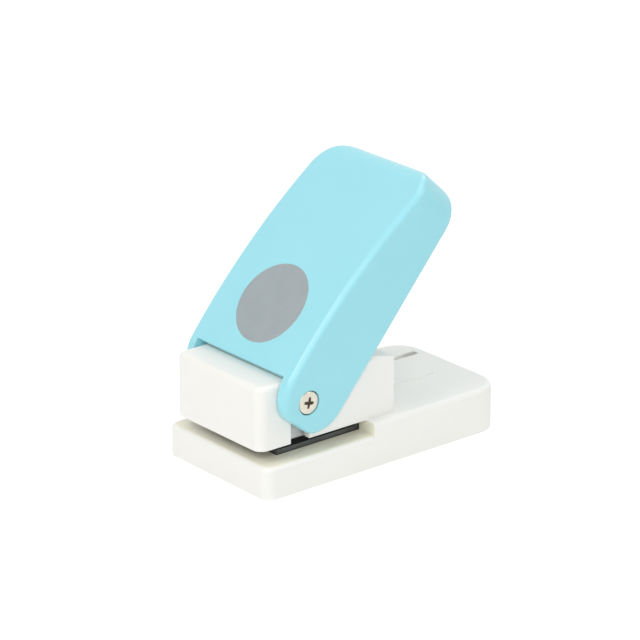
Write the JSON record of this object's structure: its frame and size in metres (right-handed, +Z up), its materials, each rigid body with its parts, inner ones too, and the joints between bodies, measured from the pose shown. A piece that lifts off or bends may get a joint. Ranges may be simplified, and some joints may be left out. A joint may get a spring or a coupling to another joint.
{
  "type": "circle craft punch",
  "caption": "Lever-operated desk punch that cuts paper circles: white base and head, turquoise lever hinged on screws, steel die and cutter, sliding storage lock.",
  "frame": {"origin": "middle of the base's underside, on the surface it stands on", "axes": "+X to the right seen from the front, +Y from the paper side to the rear, +Z up"},
  "size_m": [0.0466, 0.0874, 0.081],
  "materials": {
    "white_plastic": "white moulded ABS, satin gloss",
    "turquoise_plastic": "pale turquoise moulded ABS, gloss",
    "grey_print": "grey printed film disc, matt",
    "dark_steel": "blackened ground steel",
    "bright_steel": "ground steel",
    "zinc": "zinc die casting, tumbled",
    "nickel": "nickel plate",
    "screw_steel": "zinc plated",
    "spring_wire": "drawn spring wire"
  },
  "bodies": {
    "base": {"base_shell": "white_plastic", "lower_die": "dark_steel", "die_spacer": "bright_steel", "guide_block": "zinc", "head_cover": "white_plastic", "die_screw_front_left": "screw_steel", "die_screw_rear_left": "screw_steel", "die_screw_front_right": "screw_steel", "die_screw_rear_right": "screw_steel", "cover_screw_left": "screw_steel", "cover_screw_right": "screw_steel", "frame_screw_left": "screw_steel", "frame_screw_right": "screw_steel", "pivot_screw_left": "nickel", "pivot_screw_right": "nickel", "lock_keeper": "white_plastic", "keeper_screw_left": "screw_steel", "keeper_screw_right": "screw_steel", "return_spring_front_left": "spring_wire", "return_spring_rear_left": "spring_wire", "return_spring_front_right": "spring_wire", "return_spring_rear_right": "spring_wire"},
    "lever": {"lever_shell": "turquoise_plastic", "size_disc": "grey_print", "press_roller": "bright_steel", "roller_pin": "bright_steel"},
    "punch": {"punch": "bright_steel", "pusher_plate": "bright_steel", "plate_screw": "screw_steel"},
    "lock": {"lock_slider": "white_plastic"}
  },
  "joints": [
    {"name": "lever_press", "type": "hinge", "parent": "base", "child": "lever", "pos_m": [0, -0.02915, 0.0259], "axis": [-1, 0, 0], "range_deg": [0, 47], "stiffness_Nm_per_rad": 0.19, "springref_deg": -16.62},
    {"name": "punch_slide", "type": "slide", "parent": "base", "child": "punch", "axis": [0, 0, -1], "range_m": [0, 0.00565], "deforming": ["return_spring_front_left", "return_spring_rear_left", "return_spring_front_right", "return_spring_rear_right"]},
    {"name": "lock_slide", "type": "slide", "parent": "base", "child": "lock", "axis": [0, 1, 0], "range_m": [0, 0.0014]}
  ],
  "couplings": [
    {"joint": "punch_slide", "follows": "lever_press", "m_per_rad": 0.006873}
  ]
}
